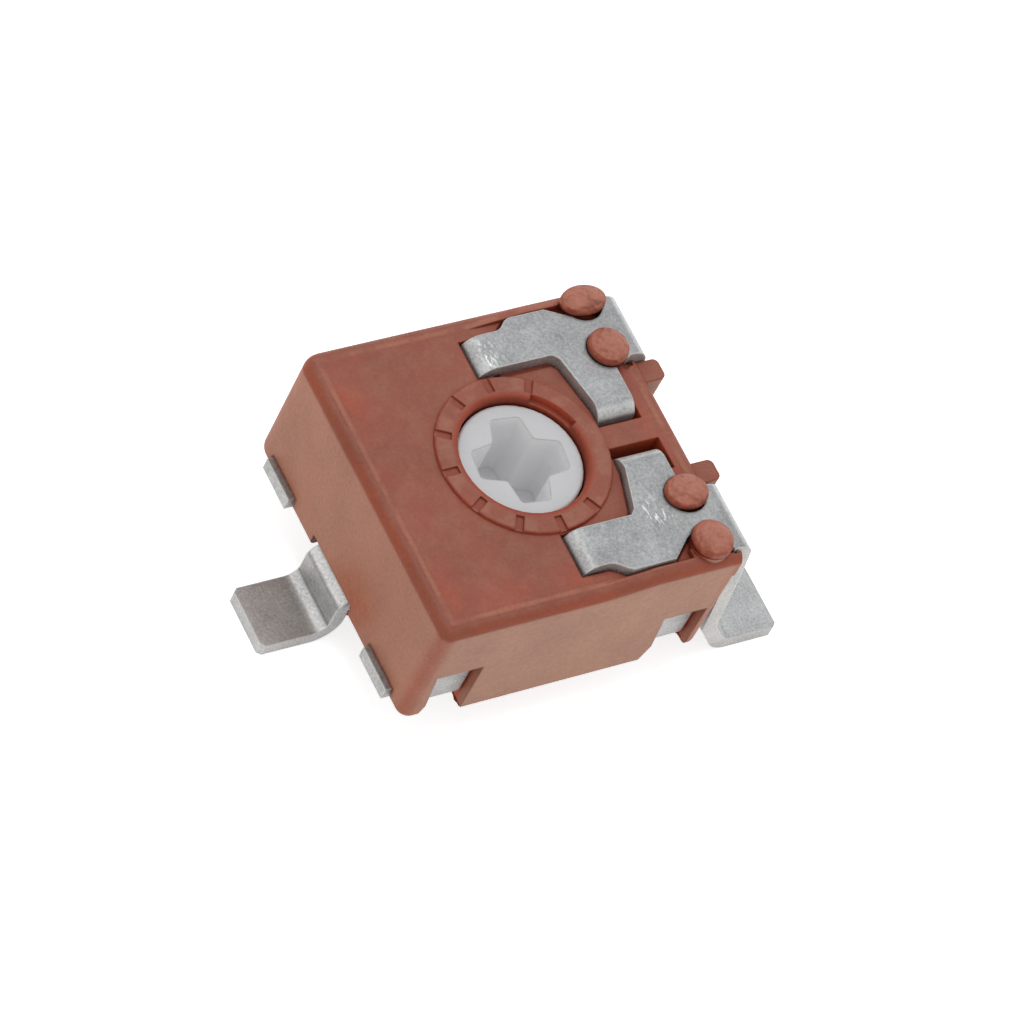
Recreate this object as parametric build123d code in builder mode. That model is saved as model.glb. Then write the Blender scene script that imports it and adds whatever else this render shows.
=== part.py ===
"""A six millimetre surface-mount trimming potentiometer, piece by piece, in millimetres.

The origin is on the rotor's axis at the board, where the solder feet stand. +X runs to the side of
the two end terminals, the collector's foot is on the -X side, and +Z is up, out of the board.
"""

from build123d import *

import os

os.makedirs("parts", exist_ok=True)

# Housing: a shallow box, open below
body_x = 6.60
body_y = 6.45
body_shift = (0.02, -0.025)
body_h = 2.89
stand_off = 0.98
wall_x = 0.475
wall_y = 0.425
roof = 0.75
corner_r = 0.25
back_left_corner_r = 0.42
top_edge_r = 0.24
bottom_edge_r = 0.12
skirt_drop = 0.10

# Sheet metal of all three terminals
sheet = 0.30
bend_r = 0.20
foot_bend_r = 0.43
foot_corner = 0.08
foot_mid_z = sheet / 2

# End terminals. Distances from the middle plane hold for both; where the back one (1) and the
# front one (-1) aren't quite alike, a pair gives both.
plate_rise = 0.20
pocket_gap = 0.05
pocket_widening = {1: 0.08, -1: 0.0}
arm_tip_x = -0.05
arm_inner_y = 1.83
arm_outer_y = {1: 2.60, -1: 2.69}
wide_outer_y = {1: 2.82, -1: 2.93}
step_start_x = {1: 0.74, -1: 0.53}
step_end_x = {1: 0.95, -1: 0.85}
step_r = 0.30
tongue_left_x = {1: 1.83, -1: 1.75}
tongue_root_x = {1: 1.62, -1: 1.50}
tongue_right_x = 2.65
tongue_slot_x = {1: 2.74, -1: 2.86}
tongue_tip_y = {1: 0.30, -1: 0.49}
tongue_slot_y = {1: 0.20, -1: 0.29}
corner_cut = 0.12
leg_inner_y = {1: 1.45, -1: 1.60}
leg_outer_y = {1: 2.80, -1: 3.05}
barb_depth = 0.55
hook_length = 0.55

# Legs of the end terminals: how far their middle line stands out of the housing's right side at
# the plate, at the shoulder below it, at the knee, where the foot starts and at the foot's tip
leg_bend_r = 0.25
leg_proud_top = 0.03
leg_proud_shoulder = 0.18
leg_proud_knee = 0.41
leg_proud_root = 0.94
foot_proud_tip = 2.24
shoulder_drop = 0.92
knee_z = 0.96
shoulder_r = 0.50
knee_r = 0.40
root_r = 0.45

# Staked posts that hold the end terminals down
post_x = 2.65
post_inner_y = 1.68
post_outer_y = 2.78
post_r = 0.30
head_r = 0.41
head_h = 0.30
head_dome_r = 0.62
head_edge_r = 0.10
post_notch_r = 0.42
front_boss_r = 0.39
front_boss_web = 0.45
back_head_stretch = (1.20, 0.80, 0.85)
front_head_stretch = (1.10, 0.92, 0.85)

# Collector plate, which closes the housing below
plate_gap = 0.05
side_tab_proud = 0.14
side_tab_back = (1.61, 2.57)
side_tab_front = (-2.71, -1.75)
edge_tab_rise = 1.20
edge_tab_bend_r = 0.16
edge_tab_left = (-2.77, -1.98)
edge_tab_right = (2.22, 2.96)
collector_leg_proud = 0.14
collector_leg_y = (-0.75, 0.58)
collector_tip_proud = 1.52
journal_r = 0.85
journal_gap = 0.05

# Notches in the walls' bottom edges
notch_gap = 0.02
leg_notch_y = (-0.85, 0.72)
tab_notch_gap = 0.04
edge_notch_h = 1.33
edge_notch_left = (-2.93, -1.93)
edge_notch_right = (2.06, 3.02)
jamb_flare = 0.10

# Marked ring round the adjusting hole
hole_r = 1.28
hole_edge_r = 0.08
ledge_r = 1.40
ledge_angles = (16, 58)
ledge_depth = 0.15
ring_r = 1.75
ring_h = 0.08
ring_edge_r = 0.05
mark_step = 30
mark_first = 60
mark_count = 9
mark_width = 0.16
mark_inner_r = 1.42
mark_depth = 0.045

# Raised rims outside the end terminals, and guide ribs beside their legs
rim_h = 0.13
rim_start_x = 0.25
rim_ramp = 1.10
rim_inset = {1: 0.07, -1: 0.0}
rib_proud = 0.42
rib_inner_y = 0.95
rib_outer_y = 1.41
rib_drop = 0.10
rib_r = 0.12

# Resistive element under the roof
board_t = 0.45
board_hole_r = 1.60
film_t = 0.05
track_inner_r = 1.72
track_outer_r = 2.60
track_end_angle = 40
pad_start_angle = 5
pad_inner_r = 1.68
pad_outer_r = 2.72
slot_gap = 0.05

# Rotor, with its cross slot as it stands in the photograph
rotor_r = 1.25
rotor_drop = 0.13
rotor_edge_r = 0.06
collar_r = 1.52
flange_r = 1.75
flange_t = 0.28
flange_under_track = 0.34
hub_r = 1.05
hub_flat = 0.90
running_gap = 0.03
cross_reach = 0.93
cross_tip_half = 0.30
cross_root_half = 0.42
cross_depth = 1.70
cross_corner_r = 0.09
rotor_turn = -7.0

# Travel stop: a lug on the rotor and a block inside the housing
travel_half = 117.5
lug_inner_r = 1.97
lug_outer_r = 2.45
lug_half_angle = 9.0
lug_clearance = 0.17
stop_slack = 1.0
stop_inner_r = 2.05
stop_clearance = 0.08

# Wiper spring, clipped round the rotor's hub under the flange
wiper_t = 0.12
wiper_outer_r = 1.85
wiper_bore_gap = 0.02
finger_length = 0.85
contact_at = 0.85
finger_rows = ((1.80, 2.05), (2.15, 2.40))
ear_half = 0.22
tongue_row = (1.25, 1.65)
tongue_length = 0.75
window_margin = 0.05

# The housing's sides and hollow, as distances from the middle planes
right_x = body_x / 2 + body_shift[0]
left_x = body_x / 2 - body_shift[0]
side_y = {1: body_y / 2 + body_shift[1], -1: body_y / 2 - body_shift[1]}
inner_x = body_x / 2 - wall_x
inner_y = body_y / 2 - wall_y
leg_top_x = right_x + leg_proud_top
rim_inner_y = {side: wide_outer_y[side] + pocket_gap for side in (1, -1)}
tongue_width = {side: tongue_right_x - tongue_left_x[side] for side in (1, -1)}
tab_mid_y = inner_y - plate_gap + edge_tab_bend_r
tab_inner_y = tab_mid_y - sheet / 2

# Levels, worked out from the sizes above
top_z = stand_off + body_h
ceiling_z = top_z - roof
plate_mid_z = top_z + plate_rise - sheet / 2
pocket_z = top_z + plate_rise - sheet
collector_top = stand_off + sheet
board_z = ceiling_z - board_t
track_z = board_z - film_t
rotor_top = top_z - rotor_drop
flange_top = track_z - flange_under_track
flange_z = flange_top - flange_t
wiper_z = flange_z - wiper_t


def sector(inner_r, outer_r, start, end):
    """A flat ring sector round the origin, from one angle to the other in degrees."""
    with BuildSketch() as shape:
        with BuildLine():
            outer = CenterArc((0, 0), outer_r, start, end - start)
            inner = CenterArc((0, 0), inner_r, start, end - start)
            Line(outer @ 0, inner @ 0)
            Line(outer @ 1, inner @ 1)
        make_face()
    return shape.sketch


def block(x_range, y_range, z_range, mode=Mode.ADD):
    """Adds or cuts a block given by its extents."""
    centre = [(low + high) / 2 for low, high in (x_range, y_range, z_range)]
    size = [high - low for low, high in (x_range, y_range, z_range)]
    with Locations(tuple(centre)):
        Box(*size, mode=mode)


def mirrored(y_range, side):
    """A range along Y, kept on the back side (1) or mirrored to the front side (-1)."""
    low, high = sorted(side * y for y in y_range)
    return low, high


def end_plate_outline(side, grow=0.0):
    """The flat part of an end terminal seen from above, grown all round by a gap."""
    left_x = arm_tip_x + bend_r + sheet / 2
    tip_y = tongue_tip_y[side] + bend_r + sheet / 2
    leg_x = leg_top_x - leg_bend_r
    outline = [
        (left_x, arm_inner_y),
        (tongue_root_x[side] - corner_cut, arm_inner_y),
        (tongue_root_x[side], arm_inner_y - corner_cut),
        (tongue_left_x[side], tip_y),
        (tongue_right_x, tip_y),
        (tongue_right_x, post_inner_y - post_notch_r),
        (post_x + post_notch_r, leg_inner_y[side]),
        (leg_x, leg_inner_y[side]),
        (leg_x, leg_outer_y[side]),
        (post_x + post_notch_r, leg_outer_y[side]),
        (post_x, post_outer_y - post_notch_r),
        (post_x - post_notch_r, post_outer_y - post_notch_r / 2),
        (post_x - 2 * post_notch_r, wide_outer_y[side]),
        (step_end_x[side], wide_outer_y[side]),
        (step_start_x[side], arm_outer_y[side]),
        (left_x, arm_outer_y[side]),
    ]
    with BuildSketch() as shape:
        with BuildLine():
            Polyline(*[(x, side * y) for x, y in outline], close=True)
        make_face()
        for y in (post_inner_y, post_outer_y):
            with Locations((post_x, side * y)):
                Circle(post_notch_r, mode=Mode.SUBTRACT)
        steps = (step_start_x[side], step_end_x[side])
        corners = shape.vertices().filter_by(
            lambda corner: min(abs(corner.X - x) for x in steps) < 0.001
        )
        fillet(corners, step_r)
        if grow:
            offset(amount=grow, kind=Kind.ARC)
    return shape.sketch


def strip(plane, path, radii, width, thickness=sheet):
    """A bent strip of metal: its middle line on a plane, its width along the plane's normal."""
    with BuildPart() as bent:
        with BuildSketch(plane):
            with BuildLine():
                FilletPolyline(*path, radius=radii)
            trace(line_width=thickness)
        extrude(amount=width)
    return bent.part


def circles_of(piece, radius):
    """The piece's round edges of one radius, from the lowest to the highest."""
    circles = piece.edges().filter_by(GeomType.CIRCLE)
    return circles.filter_by(lambda edge: abs(edge.radius - radius) < 0.001).sort_by(Axis.Z)


def staked_head():
    """The head that a hot punch forms on a post: a low dome with a rounded edge, base at z = 0."""
    with BuildPart() as head:
        Cylinder(head_r, head_h, align=(Align.CENTER, Align.CENTER, Align.MIN))
        with Locations((0, 0, head_h - head_dome_r)):
            Sphere(head_dome_r, mode=Mode.INTERSECT)
        rim = circles_of(head, head_r)[-1]
        fillet(rim, head_edge_r)
    return head.part


def rim_section(side, x, rise):
    """A raised rim's section across the housing's edge, with that edge's rounding."""
    outer = side_y[side] - rim_inset[side]
    centre = (side * (outer - top_edge_r), top_z + rise - top_edge_r)
    low = top_z - 2 * top_edge_r
    with BuildSketch(Plane.YZ.offset(x)) as section:
        with BuildLine():
            edge = CenterArc(centre, top_edge_r, 90, -side * 90)
            Polyline(
                edge @ 0,
                (side * rim_inner_y[side], top_z + rise),
                (side * rim_inner_y[side], low),
                (side * outer, low),
                edge @ 1,
            )
        make_face()
    return section.sketch


# Housing, moulded in one piece with its staked posts
with BuildPart() as housing:
    with BuildSketch(Plane.XY.offset(stand_off)):
        with Locations(body_shift):
            outline = Rectangle(body_x, body_y)
        corners = outline.vertices().sort_by(lambda corner: corner.Y - corner.X)
        fillet(corners[:3], corner_r)
    extrude(amount=body_h)
    uprights = housing.edges().filter_by(Axis.Z)
    back_left_upright = uprights.sort_by(lambda edge: edge.center().Y - edge.center().X)[-1]
    fillet(back_left_upright, back_left_corner_r)
    fillet(housing.faces().sort_by(Axis.Z)[-1].edges(), top_edge_r)
    fillet(housing.faces().sort_by(Axis.Z)[0].edges(), bottom_edge_r)

    # raised rims along the front and back edges, and the ring with its marks
    rim_full_x = rim_start_x + rim_ramp
    for side in (1, -1):
        low_end = rim_section(side, rim_start_x, 0)
        high_end = rim_section(side, rim_full_x, rim_h)
        add(loft([low_end, high_end], ruled=True, mode=Mode.PRIVATE))
        add(extrude(high_end, right_x - corner_r / 2 - rim_full_x, (1, 0, 0), mode=Mode.PRIVATE))
    with BuildSketch(Plane.XY.offset(top_z)):
        Circle(ring_r)
    extrude(amount=ring_h)
    fillet(circles_of(housing, ring_r)[-1], ring_edge_r)

    # skirts between the bottom notches, front and back
    for side in (1, -1):
        skirt_x = (edge_notch_left[1], edge_notch_right[0] + jamb_flare)
        skirt_y = mirrored((inner_y, side_y[side]), side)
        block(skirt_x, skirt_y, (stand_off - skirt_drop, stand_off + bottom_edge_r))

    # guide ribs beside the legs
    for side in (1, -1):
        rib_x = (inner_x + wall_x / 2, right_x + rib_proud)
        rib_y = mirrored((rib_inner_y, rib_outer_y), side)
        block(rib_x, rib_y, (stand_off, top_z - rib_drop))
    rib_edges = housing.edges().filter_by(Axis.Z).group_by(Axis.X)[-1]
    fillet(rib_edges, rib_r)

    # the hollow, and the adjusting hole through the roof
    block((-inner_x, inner_x), (-inner_y, inner_y), (stand_off, ceiling_z), Mode.SUBTRACT)
    with BuildSketch(Plane.XY.offset(ceiling_z)):
        Circle(hole_r)
    extrude(amount=roof + ring_h, mode=Mode.SUBTRACT)
    fillet(circles_of(housing, hole_r)[-1], hole_edge_r)
    with BuildSketch(Plane.XY.offset(top_z + ring_h - ledge_depth)):
        add(sector(hole_r - ledge_depth, ledge_r, *ledge_angles))
    extrude(amount=ledge_depth, mode=Mode.SUBTRACT)
    with BuildSketch(Plane.XY.offset(top_z + ring_h - mark_depth)):
        mark_length = ring_r - mark_inner_r + mark_depth
        with PolarLocations(mark_inner_r + mark_length / 2, mark_count, mark_first,
                            mark_step * mark_count):
            Rectangle(mark_length, mark_width)
    extrude(amount=mark_depth, mode=Mode.SUBTRACT)

    # pockets and slots for the end terminals
    for side in (1, -1):
        with BuildSketch(Plane.XY.offset(pocket_z)):
            pocket_outline = end_plate_outline(side, pocket_gap)
            add(pocket_outline)
            add(pocket_outline.moved(Location((0, -side * pocket_widening[side]))))
        extrude(amount=plate_rise + sheet, mode=Mode.SUBTRACT)
        arm_x = (arm_tip_x - pocket_gap, arm_tip_x + bend_r + sheet)
        arm_y = mirrored((arm_inner_y - pocket_gap, arm_outer_y[side] + pocket_gap), side)
        arm_z = (pocket_z - barb_depth - slot_gap, top_z + plate_rise)
        block(arm_x, arm_y, arm_z, Mode.SUBTRACT)
        tongue_x = (tongue_left_x[side] - pocket_gap, tongue_slot_x[side])
        tongue_y = mirrored((tongue_slot_y[side], tongue_tip_y[side] + bend_r + sheet), side)
        block(tongue_x, tongue_y, (ceiling_z, top_z + ring_h), Mode.SUBTRACT)
        leg_y = mirrored((leg_inner_y[side] - notch_gap, leg_outer_y[side] + notch_gap), side)
        bend_x = (leg_top_x - sheet / 2 - leg_bend_r, leg_top_x + sheet / 2)
        block(bend_x, leg_y, (pocket_z - leg_bend_r / 2, top_z + plate_rise), Mode.SUBTRACT)
        leg_x = (leg_top_x - sheet / 2 - notch_gap, leg_top_x + sheet / 2)
        leg_z = (top_z - shoulder_drop - leg_bend_r, top_z)
        block(leg_x, leg_y, leg_z, Mode.SUBTRACT)

    # staked posts with domed heads, of which the outer front one stands on a thick boss and the
    # outer back one was pressed flatter and longer
    posts = (
        (post_inner_y, post_r, (1, 1, 1)),
        (post_outer_y, post_r, back_head_stretch),
        (-post_inner_y, post_r, front_head_stretch),
        (-post_outer_y, front_boss_r, (1, 1, 1)),
    )
    for y, radius, stretch in posts:
        with BuildSketch(Plane.XY.offset(pocket_z)):
            with Locations((post_x, y)):
                Circle(radius)
        extrude(amount=sheet)
        head = scale(staked_head(), by=stretch, mode=Mode.PRIVATE)
        add(head.moved(Location((post_x, y, pocket_z + sheet))))
    web_x = (post_x - front_boss_web, post_x + front_boss_web)
    block(web_x, (-rim_inner_y[-1], -post_outer_y), (top_z, top_z + rim_h))

    # notches in the bottom edges for the collector plate's tabs and leg
    for low, high in (side_tab_back, side_tab_front, leg_notch_y):
        notch_y = (low - tab_notch_gap, high + tab_notch_gap)
        notch_z = (0, collector_top + notch_gap)
        block((-left_x - wall_x, -inner_x), notch_y, notch_z, Mode.SUBTRACT)
    for side in (1, -1):
        for low, high in (edge_notch_left, edge_notch_right):
            with BuildSketch(Plane.XZ.offset(-side * (tab_inner_y - notch_gap))):
                with BuildLine():
                    Polyline(
                        (low - 3 * jamb_flare, 0),
                        (low + jamb_flare, stand_off + edge_notch_h / 4),
                        (low, stand_off + edge_notch_h),
                        (high, stand_off + edge_notch_h),
                        (high, 0),
                        close=True,
                    )
                make_face()
            extrude(amount=-side * 2 * wall_y, mode=Mode.SUBTRACT)

    # travel stop inside the wall on the collector's side
    stop_start = travel_half + lug_half_angle + stop_slack
    with BuildSketch(Plane.XY.offset(collector_top + notch_gap)) as stop_sketch:
        add(sector(stop_inner_r, inner_x + wall_x, stop_start, 360 - stop_start))
        stop_width = 2 * (inner_y - plate_gap - edge_tab_bend_r)
        Rectangle(2 * inner_x + wall_x, stop_width, mode=Mode.INTERSECT)
    extrude(amount=wiper_z - stop_clearance - collector_top - notch_gap)
housing.part.label = "housing"
export_step(housing.part, "parts/housing.step")


def make_end_terminal(side, name):
    """One end terminal: a stamped plate with a barbed arm, a contact tongue, a leg and a foot."""
    overlap = 0.05
    with BuildPart() as terminal:
        with BuildSketch(Plane.XY.offset(pocket_z)):
            add(end_plate_outline(side))
        extrude(amount=sheet)

        # the arm's end goes down into the roof
        arm_mid_x = arm_tip_x + sheet / 2
        arm_path = [
            (arm_mid_x + bend_r + overlap, plate_mid_z),
            (arm_mid_x, plate_mid_z),
            (arm_mid_x, pocket_z - barb_depth),
        ]
        low, high = mirrored((arm_inner_y, arm_outer_y[side]), side)
        add(strip(Plane.XZ.offset(-high), arm_path, bend_r, high - low))

        # the tongue's end goes through roof and element, and hooks under the end pad
        tongue_mid_y = tongue_tip_y[side] + sheet / 2
        hook_z = track_z - sheet / 2
        tongue_path = [
            (side * (tongue_mid_y + bend_r + overlap), plate_mid_z),
            (side * tongue_mid_y, plate_mid_z),
            (side * tongue_mid_y, hook_z),
            (side * (tongue_tip_y[side] + hook_length), hook_z),
        ]
        tongue_plane = Plane.YZ.offset(tongue_left_x[side])
        add(strip(tongue_plane, tongue_path, bend_r, tongue_width[side]))

        # the leg comes over the edge, leans outwards and ends in a flat foot
        leg_path = [
            (leg_top_x - leg_bend_r - overlap, plate_mid_z),
            (leg_top_x, plate_mid_z),
            (right_x + leg_proud_shoulder, top_z - shoulder_drop),
            (right_x + leg_proud_knee, knee_z),
            (right_x + leg_proud_root, foot_mid_z),
            (right_x + foot_proud_tip, foot_mid_z),
        ]
        leg_radii = [leg_bend_r, shoulder_r, knee_r, root_r]
        low, high = mirrored((leg_inner_y[side], leg_outer_y[side]), side)
        add(strip(Plane.XZ.offset(-high), leg_path, leg_radii, high - low))
        tip_edges = terminal.edges().filter_by(Axis.Z).group_by(Axis.X)[-1]
        chamfer(tip_edges, foot_corner)
    terminal.part.label = name
    export_step(terminal.part, f"parts/{name}.step")


make_end_terminal(1, "end_terminal_back")
make_end_terminal(-1, "end_terminal_front")


# Collector plate: the bottom of the housing, and the wiper's terminal
with BuildPart() as collector_plate:
    with BuildSketch(Plane.XY.offset(stand_off)):
        Rectangle(2 * (inner_x - plate_gap), 2 * (inner_y - plate_gap))
        for low, high in (side_tab_back, side_tab_front):
            side_tab_reach = left_x + side_tab_proud
            with Locations((-side_tab_reach / 2, (low + high) / 2)):
                Rectangle(side_tab_reach, high - low)
        Circle(journal_r + journal_gap, mode=Mode.SUBTRACT)
    extrude(amount=sheet)
    collector_mid_z = stand_off + sheet / 2

    # front and back tabs, bent up into the housing's notches
    corner_x = inner_x - plate_gap
    for side in (1, -1):
        tab_path = [
            (side * (inner_y - 3 * plate_gap), collector_mid_z),
            (side * tab_mid_y, collector_mid_z),
            (side * tab_mid_y, stand_off + edge_tab_rise),
        ]
        for low, high in (edge_tab_left, edge_tab_right):
            add(strip(Plane.YZ.offset(low), tab_path, edge_tab_bend_r, high - low))
        corner_y = mirrored((inner_y - 4 * plate_gap, tab_inner_y), side)
        block((corner_x, corner_x + sheet), corner_y, (0, collector_top), Mode.SUBTRACT)

    # leg and foot on the left
    collector_mid_x = left_x + collector_leg_proud - sheet / 2
    collector_path = [
        (-inner_x + wall_x, collector_mid_z),
        (-collector_mid_x, collector_mid_z),
        (-collector_mid_x, foot_mid_z),
        (-left_x - collector_tip_proud, foot_mid_z),
    ]
    collector_radii = [bend_r, foot_bend_r]
    low, high = collector_leg_y
    add(strip(Plane.XZ.offset(-high), collector_path, collector_radii, high - low))
    collector_tip = collector_plate.edges().filter_by(Axis.Z).group_by(Axis.X)[0]
    chamfer(collector_tip, foot_corner)
collector_plate.part.label = "collector_plate"
export_step(collector_plate.part, "parts/collector_plate.step")


# Element: an insulating board with a hole for the rotor and slots for the tongues
with BuildPart() as element_board:
    with BuildSketch(Plane.XY.offset(board_z)):
        Rectangle(2 * (inner_x - plate_gap), 2 * (inner_y - plate_gap))
        Circle(board_hole_r, mode=Mode.SUBTRACT)
        for side in (1, -1):
            slot_x = tongue_right_x - tongue_width[side] / 2
            slot_y = side * (tongue_tip_y[side] + sheet / 2)
            with Locations((slot_x, slot_y)):
                slot_size = (tongue_width[side] + 2 * slot_gap, sheet + 2 * slot_gap)
                Rectangle(*slot_size, mode=Mode.SUBTRACT)
    extrude(amount=board_t)
element_board.part.label = "element_board"
export_step(element_board.part, "parts/element_board.step")


# Carbon track, printed on the board's lower face
with BuildPart() as carbon_track:
    with BuildSketch(Plane.XY.offset(track_z)):
        add(sector(track_inner_r, track_outer_r, track_end_angle, 360 - track_end_angle))
    extrude(amount=film_t)
carbon_track.part.label = "carbon_track"
export_step(carbon_track.part, "parts/carbon_track.step")


# Silver end pads, printed at both ends of the track
for side, name in ((1, "end_pad_back"), (-1, "end_pad_front")):
    with BuildPart() as end_pad:
        with BuildSketch(Plane.XY.offset(track_z)):
            start, end = sorted((side * pad_start_angle, side * track_end_angle))
            add(sector(pad_inner_r, pad_outer_r, start, end))
            slot_x = tongue_right_x - tongue_width[side] / 2
            with Locations((slot_x, side * (tongue_tip_y[side] + sheet / 2))):
                slot_size = (tongue_width[side] + 2 * slot_gap, sheet + 2 * slot_gap)
                Rectangle(*slot_size, mode=Mode.SUBTRACT)
        extrude(amount=film_t)
    end_pad.part.label = name
    export_step(end_pad.part, f"parts/{name}.step")


# Rotor: boss in the adjusting hole, collar, flange, hub with two flats, and lower journal
with BuildPart() as rotor:
    with BuildSketch(Plane.XY.offset(flange_z)):
        Circle(rotor_r)
    extrude(amount=rotor_top - flange_z)
    fillet(rotor.faces().sort_by(Axis.Z)[-1].edges(), rotor_edge_r)
    with BuildSketch(Plane.XY.offset(flange_z)):
        Circle(collar_r)
    extrude(amount=ceiling_z - running_gap - flange_z)
    with BuildSketch(Plane.XY.offset(flange_z)):
        Circle(flange_r)
        add(sector(hub_r, lug_outer_r, rotor_turn - lug_half_angle, rotor_turn + lug_half_angle))
    extrude(amount=flange_t)
    lug_z = collector_top + lug_clearance
    with BuildSketch(Plane.XY.offset(lug_z)):
        add(sector(lug_inner_r, lug_outer_r, rotor_turn - lug_half_angle, rotor_turn + lug_half_angle))
    extrude(amount=flange_z - lug_z)
    with BuildSketch(Plane.XY.rotated((0, 0, rotor_turn)).offset(collector_top + running_gap)):
        Circle(hub_r)
        Rectangle(2 * hub_r, 2 * hub_flat, mode=Mode.INTERSECT)
    extrude(amount=flange_z - collector_top - running_gap)
    with BuildSketch(Plane.XY.offset(stand_off + running_gap)):
        Circle(journal_r)
    extrude(amount=sheet)
    with BuildSketch(Plane.XY.rotated((0, 0, rotor_turn)).offset(rotor_top - cross_depth)):
        with BuildLine():
            quarter = [
                (cross_root_half, -cross_root_half),
                (cross_reach, -cross_tip_half),
                (cross_reach, cross_tip_half),
            ]
            corners = [
                (Vector(x, y).rotate(Axis.Z, 90 * turn).X, Vector(x, y).rotate(Axis.Z, 90 * turn).Y)
                for turn in range(4)
                for x, y in quarter
            ]
            Polyline(*corners, close=True)
        cross_face = make_face()
        fillet(cross_face.vertices(), cross_corner_r)
    extrude(amount=cross_depth, mode=Mode.SUBTRACT)
rotor.part.label = "rotor"
export_step(rotor.part, "parts/rotor.step")


# Wiper: a spring plate with contact fingers up to the track and tongues down to the collector
wiper_plane = Plane.XY.rotated((0, 0, rotor_turn))
wiper_mid_z = wiper_z + wiper_t / 2
finger_top_z = track_z - running_gap - wiper_t / 2
tongue_low_z = collector_top + running_gap + wiper_t / 2


def finger(path, inner, outer, turn):
    """A spring finger: its middle line in a plane square to a radius, its width along it."""
    plane = Plane(origin=(0, 0, 0), x_dir=(0, 1, 0), z_dir=(1, 0, 0)).rotated((0, 0, turn))
    return strip(plane.offset(inner), path, wiper_t, outer - inner, wiper_t)


with BuildPart() as wiper:
    with BuildSketch(wiper_plane.offset(wiper_z)):
        Circle(wiper_outer_r)
        with Locations((-(wiper_outer_r + finger_rows[-1][1]) / 2 + wiper_outer_r / 4, 0)):
            ear_length = finger_rows[-1][1] - wiper_outer_r / 2
            Rectangle(ear_length, 2 * ear_half)
        Circle(hub_r + wiper_bore_gap, mode=Mode.SUBTRACT)
        for side in (1, -1):
            row_middle = (tongue_row[0] + tongue_row[1]) / 2
            window_length = tongue_length + window_margin
            with Locations((side * window_length / 2, side * row_middle)):
                window_width = tongue_row[1] - tongue_row[0] + 2 * window_margin
                Rectangle(window_length, window_width, mode=Mode.SUBTRACT)
    extrude(amount=wiper_t)
    for side in (1, -1):
        for inner, outer in finger_rows:
            finger_path = [
                (side * ear_half / 2, wiper_mid_z),
                (side * ear_half, wiper_mid_z),
                (side * finger_length * contact_at, finger_top_z),
                (side * finger_length, finger_top_z - wiper_t),
            ]
            add(finger(finger_path, inner, outer, 180 + rotor_turn))
    for turn in (90, -90):
        tongue_path = [
            (wiper_t, wiper_mid_z),
            (0, wiper_mid_z),
            (-tongue_length * contact_at, tongue_low_z),
            (-tongue_length, tongue_low_z + wiper_t),
        ]
        add(finger(tongue_path, tongue_row[0], tongue_row[1], turn + rotor_turn))
wiper.part.label = "wiper"
export_step(wiper.part, "parts/wiper.step")
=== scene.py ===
import math

import bpy
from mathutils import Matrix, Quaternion, Vector


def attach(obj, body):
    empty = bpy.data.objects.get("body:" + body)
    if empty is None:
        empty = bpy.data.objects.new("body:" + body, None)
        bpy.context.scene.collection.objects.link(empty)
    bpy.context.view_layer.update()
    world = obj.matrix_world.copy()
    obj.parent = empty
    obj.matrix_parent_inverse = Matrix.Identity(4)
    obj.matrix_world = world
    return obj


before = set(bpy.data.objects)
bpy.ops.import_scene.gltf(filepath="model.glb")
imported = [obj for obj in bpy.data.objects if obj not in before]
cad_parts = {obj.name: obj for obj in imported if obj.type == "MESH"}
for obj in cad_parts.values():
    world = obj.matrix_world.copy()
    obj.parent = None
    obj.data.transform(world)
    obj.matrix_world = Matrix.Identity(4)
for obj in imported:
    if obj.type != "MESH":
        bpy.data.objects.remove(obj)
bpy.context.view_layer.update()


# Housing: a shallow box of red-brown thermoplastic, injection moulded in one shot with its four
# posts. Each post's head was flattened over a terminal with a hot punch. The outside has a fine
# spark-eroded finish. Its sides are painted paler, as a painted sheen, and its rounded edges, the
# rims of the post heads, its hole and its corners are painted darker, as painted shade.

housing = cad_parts["housing"]

# Lengths are in mm, colours are 0 to 255 screen values, and a turn is a range of the face's normal.
mm = 0.001
top_colour = (139, 74, 56)
chalky_top_colour = (146, 92, 72)
left_wall_sheen_colour = (176, 117, 92)
front_wall_sheen_colour = (178, 129, 105)
edge_shade_colour = (152, 70, 42)
outer_edge_shade_colour = (124, 70, 48)
lip_highlight_colour = (164, 100, 78)
warm_colour = (160, 68, 42)
head_colour = (172, 108, 88)
head_shade_colour = (158, 80, 58)
ring_colour = (150, 92, 73)
mark_shade_colour = (138, 60, 40)
hole_shade_colour = (146, 60, 34)
wall_patch_colour = (168, 88, 58)
inside_bounce_colour = (206, 84, 46)
recess_shade_colour = (124, 44, 24)
underside_shade_colour = (166, 104, 82)

housing_top_z = 3.87
plate_top_z = 4.07
ring_inner_r = 1.40
ring_outer_r = 1.74
ring_top_z = 3.95
warm_patch = (-3.28, -0.90, 1.60)
warm_patch_reach = (1.05, 0.15)
body_half = (3.30, 3.225)
body_middle = (0.02, -0.025)
top_turn = (0.62, 0.98)
edge_turn = (0.03, 0.30)
minus_turn = (-0.5, -0.9)
head_turn = (0.72, 0.96)
inside_wall = (-0.20, -0.13)
upright_corner = (-0.42, -0.06)
lip_band = (-0.37, -0.29, -0.25, -0.17)
inner_warm_band = (-1.10, -0.45, -0.38, -0.30)
outer_edge_shade_band = (-0.20, -0.08, -0.03, 0.02)
hole_depth = (0.9, 0.5)
edge_roll_depth = (0.34, 0.16)
edge_bend = (0.995, 0.86)
corner_light = (0.95, 0.25)
edge_shade_width = 0.10
corner_reach = 0.45
plastic_rounding = 0.05
swell_height = 0.045
grain_height = 0.008
lip_height = 0.03
dent_height = 0.34


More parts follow.
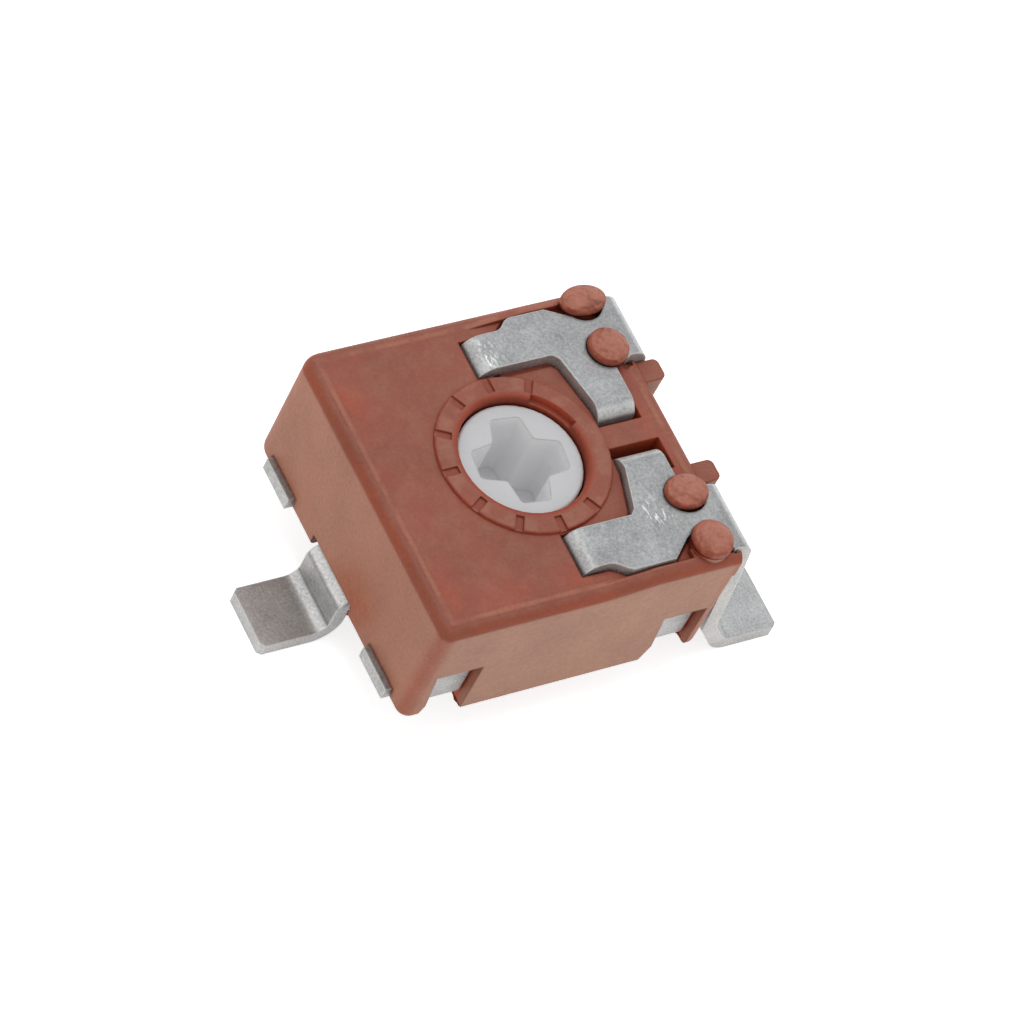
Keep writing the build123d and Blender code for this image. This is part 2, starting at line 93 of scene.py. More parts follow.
def paint(red, green, blue):
    """The colour with these 0 to 255 screen values, as linear light."""
    screen = [value / 255 for value in (red, green, blue)]
    linear = [v / 12.92 if v <= 0.04045 else ((v + 0.055) / 1.055) ** 2.4 for v in screen]
    return (*linear, 1.0)


def add_node(tree, kind, inputs=None, **settings):
    """Puts a node in the tree, with its settings made and its inputs filled or linked."""
    node = tree.nodes.new(kind)
    for name, value in settings.items():
        setattr(node, name, value)
    for name, value in (inputs or {}).items():
        if isinstance(value, bpy.types.NodeSocket):
            tree.links.new(value, node.inputs[name])
        else:
            socket = node.inputs[name]
            plain = socket.type == "VECTOR" and isinstance(value, tuple)
            socket.default_value = value[:3] if plain else value
    return node


def start_group(name, inputs, outputs):
    """An empty shader node group with these sockets, given as name: value or name: kind."""
    kinds = {float: "NodeSocketFloat", tuple: "NodeSocketColor"}
    group = bpy.data.node_groups.new(name, "ShaderNodeTree")
    for socket, value in inputs.items():
        made = group.interface.new_socket(socket, in_out="INPUT", socket_type=kinds[type(value)])
        made.default_value = value
    for socket, kind in outputs.items():
        group.interface.new_socket(socket, in_out="OUTPUT", socket_type=kind)
    return group, group.nodes.new("NodeGroupInput").outputs


def finish_group(group, results):
    """Links the group's results to its output node."""
    output = group.nodes.new("NodeGroupOutput")
    for name, socket in results.items():
        group.links.new(socket, output.inputs[name])


def in_millimetres(tree):
    """Object coordinates in millimetres."""
    place = add_node(tree, "ShaderNodeTexCoord").outputs["Object"]
    return add_node(tree, "ShaderNodeMapping", {
        "Vector": place, "Scale": (1 / mm, 1 / mm, 1 / mm)}).outputs["Vector"]


def ramp(tree, value, low, high, to_low=0.0, to_high=1.0):
    """The value, eased from low..high to the new range and held outside it."""
    return add_node(tree, "ShaderNodeMapRange", {
        "Value": value, "From Min": low, "From Max": high, "To Min": to_low, "To Max": to_high},
        interpolation_type="SMOOTHSTEP").outputs["Result"]


def mix(tree, factor, first, second):
    """Two colours mixed by a factor."""
    return add_node(tree, "ShaderNodeMix", {0: factor, 6: first, 7: second},
                    data_type="RGBA").outputs[2]


def clouds_of(tree, place, scale, detail):
    """Plain noise over the place, from 0 to 1."""
    return add_node(tree, "ShaderNodeTexNoise",
                    {"Vector": place, "Scale": scale, "Detail": detail}).outputs["Fac"]


def build_cloudy():
    """Shader group: soft clouds of lighter and darker tone, with a finer set inside them."""
    group, given = start_group(
        "cloudy tone",
        {"Size": 1.2, "Fine Size": 0.2, "Fine Share": 0.4, "Strength": 0.1},
        {"Tone": "NodeSocketFloat"})
    place = in_millimetres(group)
    tones = []
    for size, detail in ((given["Size"], 3.0), (given["Fine Size"], 4.0)):
        scale = add_node(group, "ShaderNodeMath", {0: 1.0, 1: size}, operation="DIVIDE")
        tones.append(clouds_of(group, place, scale.outputs[0], detail))
    both = add_node(group, "ShaderNodeMix", {0: given["Fine Share"], 2: tones[0], 3: tones[1]})
    centred = add_node(group, "ShaderNodeMath", {0: both.outputs[0], 1: 0.5}, operation="SUBTRACT")
    tone = add_node(group, "ShaderNodeMath", {0: centred.outputs[0], 1: given["Strength"], 2: 1.0},
                    operation="MULTIPLY_ADD")
    finish_group(group, {"Tone": tone.outputs[0]})
    return group


def build_edge_and_corner_masks():
    """Shader group: masks for sharp outer edges, for painted shade or highlight, and for deep inner
    corners.
    """
    group, given = start_group(
        "edges and corners",
        {"Edge Width": 0.06, "Corner Reach": 0.5},
        {"Edge": "NodeSocketFloat", "Corner": "NodeSocketFloat"})
    to_metres = add_node(group, "ShaderNodeMath", {0: given["Edge Width"], 1: mm},
                         operation="MULTIPLY")
    rounded = add_node(group, "ShaderNodeBevel", {"Radius": to_metres.outputs[0]}, samples=6)
    geometry = add_node(group, "ShaderNodeNewGeometry")
    turn = add_node(group, "ShaderNodeVectorMath", {
        0: rounded.outputs["Normal"], 1: geometry.outputs["Normal"]}, operation="DOT_PRODUCT")
    edge = ramp(group, turn.outputs["Value"], *edge_bend)
    reach = add_node(group, "ShaderNodeMath", {0: given["Corner Reach"], 1: mm},
                     operation="MULTIPLY")
    hidden = add_node(group, "ShaderNodeAmbientOcclusion", {"Distance": reach.outputs[0]},
                      samples=8, only_local=False)
    corner = ramp(group, hidden.outputs["AO"], *corner_light)
    finish_group(group, {"Edge": edge, "Corner": corner})
    return group


cloudy = build_cloudy()
edge_and_corner_masks = build_edge_and_corner_masks()


def start_material(name):
    """A new material with only its output and Principled shader."""
    material = bpy.data.materials.new(name)
    material.use_nodes = True
    tree = material.node_tree
    tree.nodes.clear()
    output = add_node(tree, "ShaderNodeOutputMaterial")
    shader = add_node(tree, "ShaderNodeBsdfPrincipled")
    tree.links.new(shader.outputs[0], output.inputs["Surface"])
    return material, tree, shader


def place_group(tree, group, values):
    """A shader group placed in a material, with its own values."""
    return add_node(tree, "ShaderNodeGroup", values, node_tree=group).outputs


def tinted(tree, colour, tone):
    """A colour made lighter or darker by a tone."""
    made = add_node(tree, "ShaderNodeVectorMath", {0: colour, "Scale": tone}, operation="SCALE")
    return made.outputs[0]


def times(tree, *values):
    """The product of masks or heights."""
    product = values[0]
    for value in values[1:]:
        product = add_node(tree, "ShaderNodeMath", {0: product, 1: value},
                           operation="MULTIPLY").outputs[0]
    return product


def band(tree, value, start, low, high, end):
    """A mask that rises from start to low, and falls again from high to end."""
    return times(tree, ramp(tree, value, start, low), ramp(tree, value, end, high))


def outer_distances(tree, parts):
    """How far outside the housing's nearest side, and its next one, a point lies, in mm."""
    distances = []
    for axis, half, middle in zip("XY", body_half, body_middle):
        centred = add_node(tree, "ShaderNodeMath", {0: parts[axis], 1: middle},
                           operation="SUBTRACT")
        size = add_node(tree, "ShaderNodeMath", {0: centred.outputs[0]}, operation="ABSOLUTE")
        distance = add_node(tree, "ShaderNodeMath", {0: size.outputs[0], 1: half},
                            operation="SUBTRACT")
        distances.append(distance.outputs[0])
    return [add_node(tree, "ShaderNodeMath", {0: distances[0], 1: distances[1]},
                     operation=choice).outputs[0] for choice in ("MAXIMUM", "MINIMUM")]


def radius_of(tree, parts):
    """The distance from the rotor's axis, in mm."""
    level = add_node(tree, "ShaderNodeCombineXYZ", {"X": parts["X"], "Y": parts["Y"]})
    return add_node(tree, "ShaderNodeVectorMath", {0: level.outputs[0]},
                    operation="LENGTH").outputs["Value"]


def distance_from(tree, place, point):
    """The distance from a point, in mm."""
    return add_node(tree, "ShaderNodeVectorMath", {0: place, 1: point},
                    operation="DISTANCE").outputs["Value"]


def add_heights(tree, *heights):
    """The sum of bump heights, each a mask with its height in mm."""
    total = 0.0
    for mask, height in heights:
        total = add_node(tree, "ShaderNodeMath", {0: mask, 1: height, 2: total},
                         operation="MULTIPLY_ADD").outputs[0]
    return total


def moulded_plastic():
    """Red-brown plastic with a raised lip, and with painted sheen, shade, highlight and bounce
    light.
    """
    material, tree, shader = start_material("red-brown moulded plastic")
    place = in_millimetres(tree)
    parts = add_node(tree, "ShaderNodeSeparateXYZ", {0: place}).outputs
    facing = add_node(tree, "ShaderNodeTexCoord").outputs["Normal"]
    faced = add_node(tree, "ShaderNodeSeparateXYZ", {0: facing}).outputs
    nearest, other = outer_distances(tree, parts)
    radius = radius_of(tree, parts)
    patches = ramp(tree, clouds_of(tree, place, 0.9, 5.0), 0.36, 0.70)
    mottle = ramp(tree, clouds_of(tree, place, 2.6, 6.0), 0.40, 0.66)

    on_top = ramp(tree, faced["Z"], *top_turn)
    on_edge = ramp(tree, faced["Z"], *edge_turn)
    outside = ramp(tree, nearest, *inside_wall)
    upper = ramp(tree, parts["Z"], *(housing_top_z - depth for depth in edge_roll_depth))
    upright = times(tree, ramp(tree, other, *upright_corner), outside)
    # The walls are painted paler than the top, the left and front walls each in its own tone, as a
    # painted sheen.
    wall_sheen = mix(tree, ramp(tree, faced["Y"], *minus_turn), paint(*left_wall_sheen_colour),
                 paint(*front_wall_sheen_colour))
    glow = ramp(tree, distance_from(tree, place, warm_patch), *warm_patch_reach, 0.0, 0.75)
    walls = mix(tree, times(tree, glow, ramp(tree, mottle, 0.0, 1.0, 0.6, 1.0)), wall_sheen,
                paint(*wall_patch_colour))
    walls = mix(tree, times(tree, upright, 0.55), walls, paint(*warm_colour))
    # Walls inside the hollows are painted bright red-orange, as painted bounce light off the red
    # plastic.
    walls = mix(tree, outside, paint(*inside_bounce_colour), walls)
    # Faces that point down are painted darker, as painted shade.
    walls = mix(tree, ramp(tree, faced["Z"], *minus_turn), walls, paint(*underside_shade_colour))
    # Faces tilted on the rounded edges are painted darker, as painted shade.
    sides = mix(tree, on_edge, walls, paint(*edge_shade_colour))
    flat = mix(tree, times(tree, mottle, 0.45), paint(*top_colour), paint(*chalky_top_colour))
    base = mix(tree, on_top, sides, flat)

    # The raised lip along the outer edges is painted lighter, as a painted highlight.
    lip = times(tree, band(tree, nearest, *lip_band), on_edge,
                ramp(tree, clouds_of(tree, place, 1.3, 3.0), 0.36, 0.56, 0.15, 0.75))
    inner_band = times(tree, band(tree, nearest, *inner_warm_band), on_top, patches, 0.55)
    # A band along the outer top edges is painted darker in patches, as painted shade.
    outer_edge_shade = times(tree, band(tree, nearest, *outer_edge_shade_band), upper,
                       ramp(tree, patches, 0.0, 1.0, 0.05, 0.45))
    # The hole's wall under the ring is painted darker, as painted shade.
    hole = times(tree, ramp(tree, radius, ring_inner_r + 0.02, ring_inner_r - 0.06),
                 ramp(tree, parts["Z"], *(housing_top_z - depth for depth in hole_depth)))
    ring = times(tree, band(tree, radius, ring_inner_r, ring_inner_r + 0.06, ring_outer_r - 0.05,
                            ring_outer_r),
                 ramp(tree, parts["Z"], housing_top_z + 0.05, housing_top_z + 0.07),
                 mottle)
    # The recessed marks on the ring are painted darker, as painted shade.
    marks = times(tree, band(tree, radius, ring_inner_r, ring_inner_r + 0.03, ring_outer_r - 0.06,
                             ring_outer_r - 0.02),
                  band(tree, parts["Z"], ring_top_z - 0.07, ring_top_z - 0.05, ring_top_z - 0.04,
                       ring_top_z - 0.015), 0.75)
    heads = ramp(tree, parts["Z"], plate_top_z - 0.02, plate_top_z + 0.05)
    head_tops = mix(tree, ramp(tree, faced["Z"], *head_turn), paint(*head_shade_colour),
                    paint(*head_colour))
    for mask, colour in ((inner_band, warm_colour), (outer_edge_shade, outer_edge_shade_colour),
                         (lip, lip_highlight_colour), (ring, ring_colour), (marks, mark_shade_colour),
                         (hole, hole_shade_colour)):
        base = mix(tree, mask, base, paint(*colour))
    base = mix(tree, heads, base, head_tops)
    # Sharp edges are painted darker in patches, as painted shade.
    masks = place_group(tree, edge_and_corner_masks, {"Edge Width": edge_shade_width, "Corner Reach": corner_reach})
    shaded_edge = times(tree, masks["Edge"], ramp(tree, mottle, 0.0, 1.0, 0.25, 0.8))
    edge_shaded = mix(tree, shaded_edge, base, paint(*edge_shade_colour))
    # Deep inner corners are painted darker, as painted shade.
    closed = mix(tree, times(tree, masks["Corner"], 0.8), edge_shaded, paint(*recess_shade_colour))
    tone = place_group(tree, cloudy, {"Size": 1.3, "Fine Size": 0.07, "Fine Share": 0.5,
                                      "Strength": 0.90})["Tone"]
    tree.links.new(tinted(tree, closed, tone), shader.inputs["Base Color"])
    shader.inputs["Roughness"].default_value = 0.55
    shader.inputs["Specular IOR Level"].default_value = 0.4

    rounded = add_node(tree, "ShaderNodeBevel", {"Radius": plastic_rounding * mm}, samples=6)
    dents = times(tree, clouds_of(tree, place, 2.4, 2.0), heads)
    height = add_heights(tree, (clouds_of(tree, place, 1.6, 2.0), swell_height),
                         (clouds_of(tree, place, 13.0, 4.0), grain_height),
                         (lip, lip_height), (dents, dent_height))
    bump = add_node(tree, "ShaderNodeBump", {"Height": height, "Strength": 1.0, "Distance": mm,
                                             "Normal": rounded.outputs[0]})
    tree.links.new(bump.outputs[0], shader.inputs["Normal"])
    return material


def dress(node, material):
    """Gives a CAD node its own material."""
    node.data.materials.clear()
    node.data.materials.append(material)


dress(housing, moulded_plastic())


# Flash: thin ragged threads of the same plastic that the mould squeezed out along the bottom edges
# at the notches, and that were scraped up where the collector's side tabs were pushed in.

flash_lines = (
    ((-1.93, -2.84, 0.89), (-1.94, -3.10, 0.88), (-1.92, -3.21, 0.89), (-1.70, -3.22, 0.89)),
    ((2.98, -2.86, 1.00), (3.05, -3.16, 1.02), (3.14, -3.16, 1.03)),
    ((-2.95, -2.86, 1.02), (-2.99, -3.15, 1.03), (-3.10, -3.16, 1.03)),
    ((-3.26, 1.55, 1.05), (-3.27, 1.56, 1.30), (-3.27, 2.05, 1.31), (-3.27, 2.61, 1.31)),
    ((-3.27, -2.76, 1.31), (-3.27, -2.30, 1.31), (-3.27, -1.71, 1.31), (-3.26, -1.70, 1.06)),
    ((-3.26, -0.88, 1.02), (-3.27, -0.90, 1.20), (-3.27, -0.88, 1.30)),
)
flash_thickness = 0.028
flash_wander = 0.012
flash_raggedness = 0.5
flash_steps = 26
flash_seed = 7


def build_flash():
    """Geometry Nodes: turns plain edges into thin ragged threads of plastic."""
    tree = bpy.data.node_groups.new("ragged flash", "GeometryNodeTree")
    sockets = tree.interface
    sockets.new_socket("Lines", in_out="INPUT", socket_type="NodeSocketGeometry")
    for name in ("Thickness", "Wander", "Raggedness"):
        sockets.new_socket(name, in_out="INPUT", socket_type="NodeSocketFloat")
    for name in ("Steps", "Seed"):
        sockets.new_socket(name, in_out="INPUT", socket_type="NodeSocketInt")
    sockets.new_socket("Plastic", in_out="INPUT", socket_type="NodeSocketMaterial")
    sockets.new_socket("Threads", in_out="OUTPUT", socket_type="NodeSocketGeometry")
    given = tree.nodes.new("NodeGroupInput").outputs
    curve = add_node(tree, "GeometryNodeMeshToCurve", {"Mesh": given["Lines"]})
    stepped = add_node(tree, "GeometryNodeResampleCurve", {
        "Curve": curve.outputs[0], "Count": given["Steps"]}, mode="COUNT")
    least = add_node(tree, "ShaderNodeMath", {0: given["Wander"], 1: -1.0}, operation="MULTIPLY")
    shift = add_node(tree, "FunctionNodeRandomValue", {
        0: least.outputs[0], 1: given["Wander"], "Seed": given["Seed"]}, data_type="FLOAT_VECTOR")
    moved = add_node(tree, "GeometryNodeSetPosition", {
        "Geometry": stepped.outputs[0], "Offset": shift.outputs["Value"]})
    thin = add_node(tree, "ShaderNodeMath", {0: 1.0, 1: given["Raggedness"]}, operation="SUBTRACT")
    swell = add_node(tree, "FunctionNodeRandomValue", {
        2: thin.outputs[0], 3: 1.0, "Seed": given["Seed"]}, data_type="FLOAT")
    profile = add_node(tree, "GeometryNodeCurvePrimitiveCircle", {
        "Resolution": 8, "Radius": given["Thickness"]})
    tube = add_node(tree, "GeometryNodeCurveToMesh", {
        "Curve": moved.outputs[0], "Profile Curve": profile.outputs[0],
        "Scale": swell.outputs[1], "Fill Caps": True})
    smooth = add_node(tree, "GeometryNodeSetShadeSmooth", {"Geometry": tube.outputs[0]})
    real = add_node(tree, "GeometryNodeRealizeInstances", {"Geometry": smooth.outputs[0]})
    finished = add_node(tree, "GeometryNodeSetMaterial", {
        "Geometry": real.outputs[0], "Material": given["Plastic"]})
    output = tree.nodes.new("NodeGroupOutput")
    tree.links.new(finished.outputs[0], output.inputs["Threads"])
    return tree


def grown(name, points, edges, tree, values):
    """Runs a Geometry Nodes tree on plain edges and returns its result as a plain object."""
    base = bpy.data.meshes.new(name)
    base.from_pydata(points, edges, [])
    shaper = bpy.data.objects.new(name, base)
    bpy.context.scene.collection.objects.link(shaper)
    modifier = shaper.modifiers.new("shape", "NODES")
    modifier.node_group = tree
    for socket in tree.interface.items_tree:
        if socket.name in values:
            modifier[socket.identifier] = values[socket.name]
    depsgraph = bpy.context.evaluated_depsgraph_get()
    mesh = bpy.data.meshes.new_from_object(shaper.evaluated_get(depsgraph))
    shaper.modifiers.remove(modifier)
    shaper.data = mesh
    bpy.data.meshes.remove(base)
    mesh.name = name
    return shaper


flash_points = []
flash_edges = []
for line in flash_lines:
    first = len(flash_points)
    flash_points += [[size * mm for size in point] for point in line]
    flash_edges += [(first + step, first + step + 1) for step in range(len(line) - 1)]
flash = grown("moulding_flash", flash_points, flash_edges, build_flash(),
              {"Thickness": flash_thickness * mm, "Wander": flash_wander * mm,
               "Raggedness": flash_raggedness, "Steps": flash_steps, "Seed": flash_seed,
               "Plastic": housing.data.materials[0]})
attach(flash, "base")


# Element board, resistive track and end pads: a punched laminate board under the roof, with the
# carbon track screen printed on its lower face and silver-loaded pads baked on at both ends.

board_colour = (120, 84, 50)
carbon_colour = (30, 30, 32)
silver_colour = (186, 184, 178)
film_grain_height = 0.01


def printed_film(name, colour, metallic, roughness, dot_size):
    """A screen-printed and baked film, with the mesh's slight texture."""
    material, tree, shader = start_material(name)
    place = in_millimetres(tree)
    tone = place_group(tree, cloudy, {"Size": 0.5, "Fine Size": dot_size, "Fine Share": 0.6,
                                      "Strength": 0.3})["Tone"]
    tree.links.new(tinted(tree, paint(*colour), tone), shader.inputs["Base Color"])
    shader.inputs["Metallic"].default_value = metallic
    shader.inputs["Roughness"].default_value = roughness
    grain = clouds_of(tree, place, 1 / dot_size, 2.0)
    bump = add_node(tree, "ShaderNodeBump", {"Height": grain, "Strength": 0.3,
                                             "Distance": film_grain_height * mm})
    tree.links.new(bump.outputs[0], shader.inputs["Normal"])
    return material


dress(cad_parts["element_board"], printed_film("laminate board", board_colour, 0.0, 0.6, 0.2))
dress(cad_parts["carbon_track"], printed_film("carbon film", carbon_colour, 0.0, 0.5, 0.06))
silver = printed_film("silver film", silver_colour, 0.9, 0.45, 0.08)
for pad in ("end_pad_back", "end_pad_front"):
    dress(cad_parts[pad], silver)


# End terminals: brass strip 0.3 mm thick, stamped, bent and tin plated matte. Pressed over the
# posts before these were flattened. The plating is slightly granular, with rubbed bright spots.

plate_tin_colour = (145, 146, 147)
foot_tin_colour = (161, 162, 163)
tin_bend_highlight_colour = (198, 199, 198)
tin_upright_highlight_colour = (184, 182, 179)
scratch_and_edge_highlight_colour = (232, 232, 231)
plates_above_z = 3.7
front_rub = (1.90, -1.90, 4.07)
back_rub = (0.15, 2.15, 4.0)
rub_reach = (0.55, 0.10)
rub_elsewhere = 0.06
scratch_turn = math.radians(24)
scratch_stretch = (20, 6, 8)
bend_turn = (0.30, 0.55, 0.86, 0.985)
upright_turn = (0.30, 0.10)
tin_edge_highlight_width = 0.05
tin_corner_reach = 0.4
tin_rounding = 0.06
tin_grain_height = 0.012


def build_plating():
    """Shader group: the fine granular tone of matte tin, and short bright scratches."""
    group, given = start_group(
        "matte tin",
        {"Colour": (0.5, 0.5, 0.5, 1.0), "Bright": (0.8, 0.8, 0.8, 1.0), "Speckle Size": 0.05,
         "Speckle": 1.7, "Rubs": 0.5},
        {"Colour": "NodeSocketColor", "Roughness": "NodeSocketFloat", "Height": "NodeSocketFloat"})
    place = in_millimetres(group)
    tone = place_group(group, cloudy, {"Size": 0.55, "Fine Size": given["Speckle Size"],
                                       "Fine Share": 0.6, "Strength": given["Speckle"]})["Tone"]
    base = tinted(group, given["Colour"], tone)
    stretched = add_node(group, "ShaderNodeMapping", {
        "Vector": place, "Rotation": (0, 0, scratch_turn), "Scale": scratch_stretch})
    line = ramp(group, clouds_of(group, stretched.outputs[0], 1.0, 3.0), 0.54, 0.66)
    rubs = times(group, line, given["Rubs"])
    finish_group(group, {
        "Colour": mix(group, rubs, base, given["Bright"]),
        "Roughness": ramp(group, rubs, 0.0, 1.0, 0.52, 0.32),
        "Height": clouds_of(group, place, 16.0, 3.0)})
    return group


plating = build_plating()


def tinned_sheet(name, plate_colour, foot_colour, bend_highlight_colour, upright_highlight_colour, rub_points=()):
    """Tin plated sheet: granular on its faces, with a painted highlight on bends, upright faces and
    edges.
    """
    material, tree, shader = start_material(name)
    place = in_millimetres(tree)
    height = add_node(tree, "ShaderNodeSeparateXYZ", {0: place}).outputs["Z"]
    facing = add_node(tree, "ShaderNodeTexCoord").outputs["Normal"]
    upward = add_node(tree, "ShaderNodeSeparateXYZ", {0: facing}).outputs["Z"]
    flat = mix(tree, ramp(tree, height, plates_above_z - 0.2, plates_above_z + 0.2),
               paint(*foot_colour), paint(*plate_colour))
    # Bends are painted brighter, as a painted highlight.
    bent = mix(tree, times(tree, band(tree, upward, *bend_turn), 0.8), flat,
               paint(*bend_highlight_colour))
    # Upright faces, such as the legs and the sheet's thin sides, are painted brighter, as a painted
    # highlight.
    upright_lit = mix(tree, ramp(tree, upward, *upright_turn), bent, paint(*upright_highlight_colour))
    rubs = rub_elsewhere
    for point in rub_points:
        near = ramp(tree, distance_from(tree, place, point), *rub_reach, 0.0, 0.6)
        rubs = add_node(tree, "ShaderNodeMath", {0: near, 1: rubs}, operation="MAXIMUM").outputs[0]
    tin = place_group(tree, plating, {"Colour": upright_lit, "Bright": paint(*scratch_and_edge_highlight_colour),
                                      "Rubs": rubs})
    masks = place_group(tree, edge_and_corner_masks, {"Edge Width": tin_edge_highlight_width,
                                     "Corner Reach": tin_corner_reach})
    # Sharp edges are painted bright, as a painted highlight, in the pale colour also used for the
    # scratches.
    edge_highlighted = mix(tree, times(tree, masks["Edge"], 0.7), tin["Colour"], paint(*scratch_and_edge_highlight_colour))
    tree.links.new(edge_highlighted, shader.inputs["Base Color"])
    tree.links.new(tin["Roughness"], shader.inputs["Roughness"])
    shader.inputs["Metallic"].default_value = 0.6
    rounded = add_node(tree, "ShaderNodeBevel", {"Radius": tin_rounding * mm}, samples=6)
    bump = add_node(tree, "ShaderNodeBump", {"Height": tin["Height"], "Strength": 0.35,
                                             "Distance": tin_grain_height * mm,
                                             "Normal": rounded.outputs[0]})
    tree.links.new(bump.outputs[0], shader.inputs["Normal"])
    return material


terminal_tin = tinned_sheet("matte tin on the terminals", plate_tin_colour, foot_tin_colour,
                            tin_bend_highlight_colour, tin_upright_highlight_colour, (front_rub, back_rub))
for terminal in ("end_terminal_back", "end_terminal_front"):
    dress(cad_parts[terminal], terminal_tin)


# Rotor: white thermoplastic, moulded with its cross slot, flange, stop lug and hub. The slot's
# walls are painted brighter than the rim, as painted light, and its floor a little darker, as
# painted shade.

rim_colour = (196, 197, 199)
slot_light_colour = (246, 246, 247)
slot_mouth_highlight_colour = (254, 254, 254)
slot_floor_shade_colour = (224, 224, 226)
rotor_top_z = 3.74
slot_reach = 1.02
slot_rim_depth = (0.002, 0.012)
slot_mouth_depth = (0.45, 0.03)
floor_turn = (0.5, 0.9)
rotor_rounding = 0.07
rotor_swell = 0.05


def white_plastic():
    """White plastic, slightly glossy, with faint clouds."""
    material, tree, shader = start_material("white moulded plastic")
    place = in_millimetres(tree)
    tone = place_group(tree, cloudy, {"Size": 0.7, "Fine Size": 0.12, "Fine Share": 0.3,
                                      "Strength": 0.10})["Tone"]
    parts = add_node(tree, "ShaderNodeSeparateXYZ", {0: place}).outputs
    radius = radius_of(tree, parts)
    # In the slot, the walls are painted brighter than the rim, as painted light, brightest near the
    # top as a painted highlight, and the floor is painted darker, as painted shade.
    central = ramp(tree, radius, slot_reach, slot_reach - 0.04)
    sunk = ramp(tree, parts["Z"], *(rotor_top_z - depth for depth in slot_rim_depth))
    in_slot = times(tree, central, sunk)
    mouth = ramp(tree, parts["Z"], *(rotor_top_z - depth for depth in slot_mouth_depth))
    lit = mix(tree, mouth, paint(*slot_light_colour), paint(*slot_mouth_highlight_colour))
    facing = add_node(tree, "ShaderNodeTexCoord").outputs["Normal"]
    upward = add_node(tree, "ShaderNodeSeparateXYZ", {0: facing}).outputs["Z"]
    floor_shade_mask = times(tree, ramp(tree, upward, *floor_turn), 0.9)
    inner = mix(tree, floor_shade_mask, lit, paint(*slot_floor_shade_colour))
    base = mix(tree, in_slot, paint(*rim_colour), inner)
    tree.links.new(tinted(tree, base, tone), shader.inputs["Base Color"])
    shader.inputs["Roughness"].default_value = 0.45
    rounded = add_node(tree, "ShaderNodeBevel", {"Radius": rotor_rounding * mm}, samples=8)
    bump = add_node(tree, "ShaderNodeBump", {"Height": clouds_of(tree, place, 2.2, 3.0),
                                             "Strength": 0.6, "Distance": rotor_swell * mm,
                                             "Normal": rounded.outputs[0]})
    tree.links.new(bump.outputs[0], shader.inputs["Normal"])
    return material


dress(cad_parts["rotor"], white_plastic())


# Wiper: a spring plate of nickel silver, stamped and clipped round the rotor's hub. Its finger
# rows press up on the track and its tongues down on the collector plate.

spring_colour = (184, 177, 162)
spring_highlight_colour = (206, 199, 184)

# The paler colour goes on its bends and upright faces, as a painted highlight.
dress(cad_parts["wiper"],
      tinned_sheet("nickel silver spring", spring_colour, spring_colour, spring_highlight_colour,
                   spring_highlight_colour))


# Collector plate: one stamped and tinned sheet that closes the housing below. Its tabs snap into
# the notches of the sides, and its leg is bent out on the left into the middle foot.

collector_tin_colour = (148, 145, 142)
collector_bend_highlight_colour = (226, 226, 224)
collector_upright_highlight_colour = (182, 182, 181)

# Its bends and upright faces are painted brighter, as a painted highlight.
dress(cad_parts["collector_plate"],
      tinned_sheet("matte tin on the collector", collector_tin_colour, collector_tin_colour,
                   collector_bend_highlight_colour, collector_upright_highlight_colour))


# Stage: a plain pale table top, soft studio light from above and all round, and the camera at
# the photograph's angle.

floor_half = 0.6
view_from = Vector((-55.655, -45.354, 91.654)) * mm
view_to = Vector((-0.787, -1.076, 3.87)) * mm
view_roll = 29.996
view_lens = 214.48
sky_strength = 0.62
top_light_watts = 0.7
top_light_size = 0.34
top_light_height = 0.42
top_light_side = (0.06, 0.10)
table_grey = 0.9
table_lift = 0.62


def seen_directly(tree):
    """1 for what the camera, a reflection or a refraction sees, and 0 for what only gives light."""
    rays = add_node(tree, "ShaderNodeLightPath").outputs
    seen = rays["Is Camera Ray"]
    for other in ("Is Glossy Ray", "Is Transmission Ray"):
        seen = add_node(tree, "ShaderNodeMath", {0: seen, 1: rays[other]},
                        operation="MAXIMUM").outputs[0]
    return seen


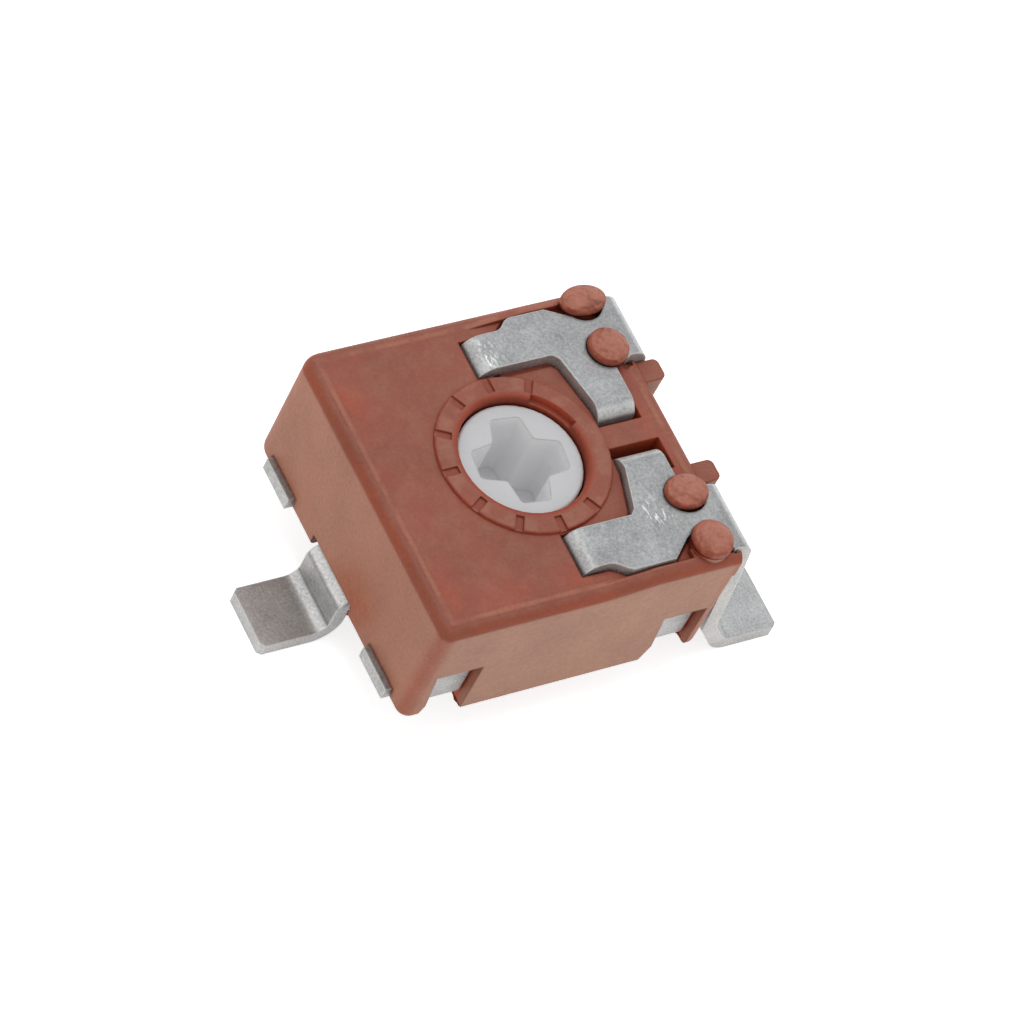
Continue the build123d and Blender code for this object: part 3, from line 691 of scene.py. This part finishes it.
def pale_table():
    """White table top. What the camera and reflections see of it is a little lifted."""
    material, tree, shader = start_material("pale table top")
    shader.inputs["Base Color"].default_value = (table_grey, table_grey, table_grey, 1.0)
    shader.inputs["Roughness"].default_value = 0.9
    shader.inputs["Emission Color"].default_value = (1, 1, 1, 1)
    tree.links.new(times(tree, seen_directly(tree), table_lift), shader.inputs["Emission Strength"])
    return material


floor_mesh = bpy.data.meshes.new("table_top")
floor_mesh.from_pydata(
    [(-floor_half, -floor_half, 0), (floor_half, -floor_half, 0),
     (floor_half, floor_half, 0), (-floor_half, floor_half, 0)], [], [(0, 1, 2, 3)])
floor = bpy.data.objects.new("table_top", floor_mesh)
bpy.context.scene.collection.objects.link(floor)
floor_mesh.materials.append(pale_table())

world = bpy.data.worlds.new("studio")
bpy.context.scene.world = world
world.use_nodes = True
sky = world.node_tree
sky.nodes.clear()
sky_level = ramp(sky, seen_directly(sky), 0.0, 1.0, sky_strength, 1.0)
background = add_node(sky, "ShaderNodeBackground", {"Color": (1, 1, 1, 1), "Strength": sky_level})
add_node(sky, "ShaderNodeOutputWorld", {"Surface": background.outputs[0]})

top_light = bpy.data.lights.new("top_light", "AREA")
top_light.shape = "DISK"
top_light.size = top_light_size
top_light.energy = top_light_watts
top_lamp = bpy.data.objects.new("top_light", top_light)
bpy.context.scene.collection.objects.link(top_lamp)
top_lamp.location = (*top_light_side, top_light_height)
top_lamp.rotation_mode = "QUATERNION"
top_lamp.rotation_quaternion = (-top_lamp.location).to_track_quat("-Z", "Y")

camera_data = bpy.data.cameras.new("camera")
camera_data.lens = view_lens
camera_data.sensor_width = 36.0
camera_data.clip_start = 0.005
camera_data.clip_end = 5.0
camera = bpy.data.objects.new("camera", camera_data)
bpy.context.scene.collection.objects.link(camera)
camera.location = view_from
camera.rotation_mode = "QUATERNION"
level_view = (view_to - view_from).to_track_quat("-Z", "Y")
camera.rotation_quaternion = level_view @ Quaternion((0, 0, 1), math.radians(view_roll))
bpy.context.scene.camera = camera
bpy.context.scene.view_settings.view_transform = "Standard"
